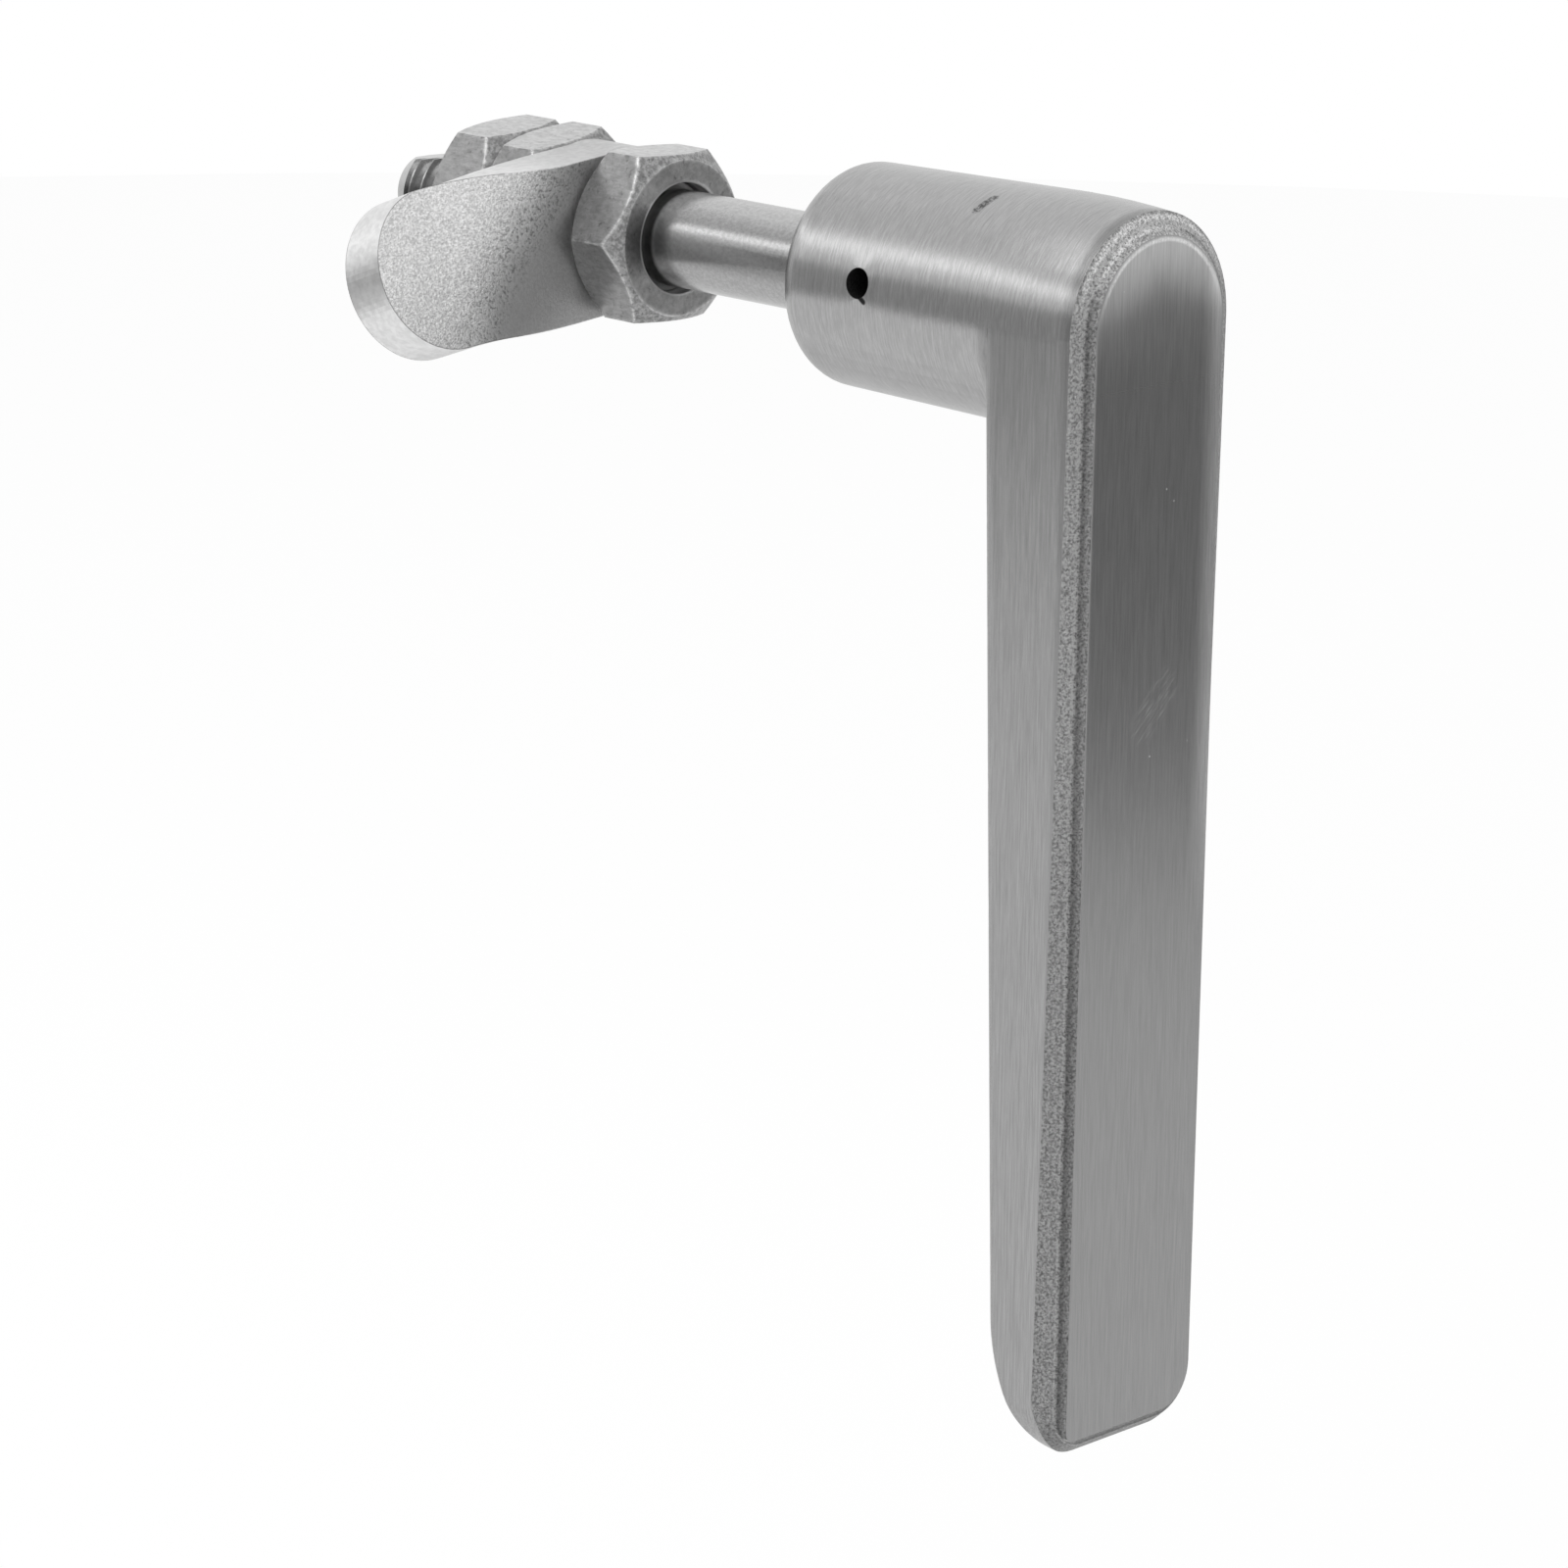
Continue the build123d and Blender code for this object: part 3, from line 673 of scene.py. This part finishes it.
# %% [markdown]
# The tongue's rim was ground afterwards and is smoother. It faces away from the flat sides, so its normal
# lies across the bar. Its middle is toned down, a painted dark reflection, and a painted shadow follows the
# edge of the round end as a dark seam. The normal finds the middle, since the rim turns as it goes round.
# %% Latch tongue: ground rim
ROUND_END_X = -18.0
SEAM_SHADOW_TONE, MIDDLE_REFLECTION_FACTOR = 0.14, 0.68
RIM_MIDDLE, MIDDLE_SPREAD = -0.09, (0.34, 0.06)
TONGUE_EDGE, DENT_DEPTH, DENT_STRENGTH = 0.2, 0.25, 0.5
RIM_ROUGH, HUB_ROUGH, BLASTED_ROUGH = 0.42, 0.50, 0.26
ground = grain(tree, point, (1.2, 1.2, 1.2), 3.0, 0.6)
rim = math_of(tree, "SUBTRACT", 1.0, flat)
tone = tint(tree, tone, rim, ramp(tree, ground, 0.3, 0.7, 0.9, 1.08))
# Painted dark reflection in the middle of the rim.
rim_dark_reflection = ramp(tree, away_from(tree, face_z, RIM_MIDDLE), *MIDDLE_SPREAD)
rim_dark_reflection = times(tree, rim_dark_reflection, ramp(tree, x, ROUND_END_X + 3.0, ROUND_END_X), rim)
tone = tint(tree, tone, rim_dark_reflection, MIDDLE_REFLECTION_FACTOR)
edge, rounded = edge_wear(tree, TONGUE_EDGE)
# Painted shadow: a dark seam along the edges of the round end.
seam_shadow = times(tree, edge, math_of(tree, "LESS_THAN", x, ROUND_END_X))
tone = mix(tree, seam_shadow, tone, SEAM_SHADOW_TONE)
relief = mix(tree, flat, times(tree, ground, 0.15), times(tree, dents, blasted))
tongue_rough = mix(tree, flat, RIM_ROUGH, mix(tree, blasted, HUB_ROUGH, BLASTED_ROUGH))
metal(tree, tone, tongue_rough, bump(tree, relief, DENT_DEPTH, DENT_STRENGTH, rounded))
dress(["latch_tongue"], tongue_metal)

# %% [markdown]
# A roll pin is a strip of spring steel rolled to a split tube. Heat treatment leaves it nearly black,
# and here it sits deep in its hole, so a plain dark metal with a faint mottle is enough.
# %% Roll pin
PIN_TONE, PIN_ROUGH, PIN_MOTTLE = 0.12, 0.5, (2, 2, 2)
pin_metal, tree = new_material("black_spring_steel")
pin_mottle = grain(tree, millimetres(tree)[0], PIN_MOTTLE)
metal(tree, times(tree, pin_mottle, PIN_TONE), PIN_ROUGH, None)
dress(["roll_pin"], pin_metal)

# %% [markdown]
# The spindle is turned from bar: a plain shank, a thread for the three nuts and a tapered end with a flat.
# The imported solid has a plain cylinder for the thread, so a new piece stands for it here.
# First comes the blank, made as on a lathe: half its outline, spun once round the axis.
# %% Spindle: turned blank
SHANK, THREAD, TIP = 5.55, 6.35, 4.1
FRONT_END, THREAD_START, TAPER_START, BACK_END = -28.0, 28.5, 67.25, 71.15
ROUND_STEPS = 96
outline = [
    (0, FRONT_END),
    (SHANK, FRONT_END),
    (SHANK, THREAD_START),
    (THREAD, THREAD_START + THREAD - SHANK),
    (THREAD, TAPER_START),
    (TIP, BACK_END),
    (0, BACK_END),
]
bm = bmesh.new()
corners = [bm.verts.new((r * MM, y * MM, 0)) for r, y in outline]
edges = [bm.edges.new(pair) for pair in zip(corners, corners[1:])]
bmesh.ops.spin(
    bm,
    geom=corners + edges,
    axis=(0, 1, 0),
    cent=(0, 0, 0),
    angle=math.tau,
    steps=ROUND_STEPS,
    use_merge=True,
)
bmesh.ops.remove_doubles(bm, verts=bm.verts, dist=1e-6)
bmesh.ops.recalc_face_normals(bm, faces=bm.faces)
spindle = link_mesh("threaded_spindle", bm)
print("blank faces:", len(spindle.data.polygons))

# %% [markdown]
# A thread is a groove that climbs by one pitch in each turn. A Screw modifier could wind the thread's own
# profile, but it leaves open ends. So the cutter is the groove's shape, spun for as many turns as the thread
# is long while it moves along the axis. Subtracting it cuts the thread and leaves the bar closed.
# %% Spindle: thread cutter
THREAD_PITCH, STEPS_A_TURN, RUN_IN = 1.954, 40, 1.2
ROOT, OUTSIDE = 5.2, 6.45
ROOT_HALF, OUTSIDE_HALF = 0.191, 0.912
turns = math.ceil((BACK_END - THREAD_START) / THREAD_PITCH)
groove = [(OUTSIDE, -OUTSIDE_HALF), (ROOT, -ROOT_HALF), (ROOT, ROOT_HALF), (OUTSIDE, OUTSIDE_HALF)]
bm = bmesh.new()
start = bm.faces.new([bm.verts.new((r * MM, (THREAD_START + RUN_IN + y) * MM, 0)) for r, y in groove])
bmesh.ops.spin(
    bm,
    geom=[start],
    axis=(0, 1, 0),
    cent=(0, 0, 0),
    dvec=(0, THREAD_PITCH / STEPS_A_TURN * MM, 0),
    angle=-math.tau * turns,
    steps=turns * STEPS_A_TURN,
)
bmesh.ops.holes_fill(bm, edges=[e for e in bm.edges if e.is_boundary], sides=4)
bmesh.ops.recalc_face_normals(bm, faces=bm.faces)
thread_cutter = link_mesh("thread_cutter", bm)
print("thread turns:", turns)

# %% [markdown]
# Two smaller cutters follow: one for the flat dressed on the free end, a wedge drawn in side view and pushed
# across the bar, and a round bar for the pin's cross hole. Drawing the wedge by its corners keeps the
# slope at the flat's start and the slight fall towards the end easy to read.
# %% Spindle: flat and cross hole
FLAT = ((61.95, 5.15), (71.4, 3.92), (71.4, 7.2), (60.24, 7.2))
CUTTER_LENGTH = 16.0
HOLE, HOLE_SEGMENTS = 1.65, 32
bm = bmesh.new()
wedge = bm.faces.new([bm.verts.new((-CUTTER_LENGTH / 2 * MM, y * MM, z * MM)) for y, z in FLAT])
pushed = bmesh.ops.extrude_face_region(bm, geom=[wedge], use_keep_orig=True)
moved = [g for g in pushed["geom"] if isinstance(g, bmesh.types.BMVert)]
bmesh.ops.translate(bm, verts=moved, vec=(CUTTER_LENGTH * MM, 0, 0))
bmesh.ops.recalc_face_normals(bm, faces=bm.faces)
flat_cutter = link_mesh("flat_cutter", bm)
bm = bmesh.new()
bmesh.ops.create_cone(
    bm,
    cap_ends=True,
    segments=HOLE_SEGMENTS,
    radius1=HOLE * MM,
    radius2=HOLE * MM,
    depth=CUTTER_LENGTH * MM,
)
lay = Matrix.Rotation(math.radians(90) - PIN_ANGLE, 4, "Y")
bm.transform(Matrix.Translation(pin_middle * MM) @ lay)
hole_cutter = link_mesh("hole_cutter", bm)
print("cutters:", flat_cutter.name, hole_cutter.name)

# %% [markdown]
# Boolean modifiers take the cutters away from the blank. The exact solver is slower than the fast one, but
# it copes with the many thin faces of a thread. The result is kept as a plain mesh, and only edges sharper
# than 28 degrees stay sharp, so the turned surfaces shade smoothly and the thread's crests stay crisp.
# %% Spindle: the cuts
SHARP_ANGLE = math.radians(28)
cutters = (thread_cutter, flat_cutter, hole_cutter)
for cutter in cutters:
    cut = spindle.modifiers.new(cutter.name, "BOOLEAN")
    cut.operation = "DIFFERENCE"
    cut.solver = "EXACT"
    cut.object = cutter
depsgraph = bpy.context.evaluated_depsgraph_get()
finished = bpy.data.meshes.new_from_object(spindle.evaluated_get(depsgraph))
spindle.modifiers.clear()
spindle.data = finished
for cutter in cutters:
    bpy.data.objects.remove(cutter)
finished.shade_smooth()
finished.set_sharp_from_angle(angle=SHARP_ANGLE)
print("spindle faces:", len(finished.polygons))

# %% [markdown]
# The spindle's steel has faint turning marks around it and a mottled, slightly tarnished skin. The shank is
# darker in a streak along its left and brighter on top; reflections alone are too soft there, so the tone
# helps them. The neck in the mouth of the front nut was never rubbed and stays bright.
# %% Spindle: metal
TURNED_TONE, NECK_TONE = 0.37, 0.6
STREAK_Z, STREAK_X, STREAK_FACTOR = (2.2, 0.6), (-3.0, -5.0), 0.68
BRIGHT_Z, BRIGHT_X, BRIGHT_Y, BRIGHT_FACTOR = (3.0, 4.2), (0.2, -0.9), (27.5, 26.5), 1.3
NECK_START, NECK_END = (27.2, 28.0), (33.0, 32.0)
MOTTLE, LATHE_MARKS = (2.6, 2.0, 2.6), (0.2, 5.0, 0.2)
spindle_metal, tree = new_material("turned_steel")
point, x, y, z = millimetres(tree)
mottle = grain(tree, point, MOTTLE, 4.0, 0.75)
lathe_marks = grain(tree, point, LATHE_MARKS, 2.0)
tone = times(tree, ramp(tree, mottle, 0.25, 0.75, 0.84, 1.16), TURNED_TONE)
streak = times(tree, ramp(tree, math_of(tree, "ABSOLUTE", z), *STREAK_Z), ramp(tree, x, *STREAK_X))
tone = tint(tree, tone, streak, STREAK_FACTOR)
bright = times(tree, ramp(tree, z, *BRIGHT_Z), ramp(tree, x, *BRIGHT_X), ramp(tree, y, *BRIGHT_Y))
tone = tint(tree, tone, bright, BRIGHT_FACTOR)
neck = times(tree, ramp(tree, y, *NECK_START), ramp(tree, y, *NECK_END))
tone = mix(tree, neck, tone, NECK_TONE)
metal(tree, tone, mix(tree, mottle, 0.18, 0.26), bump(tree, lathe_marks, 0.01, 0.3))
finished.materials.clear()
finished.materials.append(spindle_metal)
print(spindle_metal.name, "on", spindle.name, "with", len(tree.nodes), "nodes")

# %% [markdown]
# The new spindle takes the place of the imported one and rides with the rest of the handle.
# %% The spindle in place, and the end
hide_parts("spindle")
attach(spindle, "root")
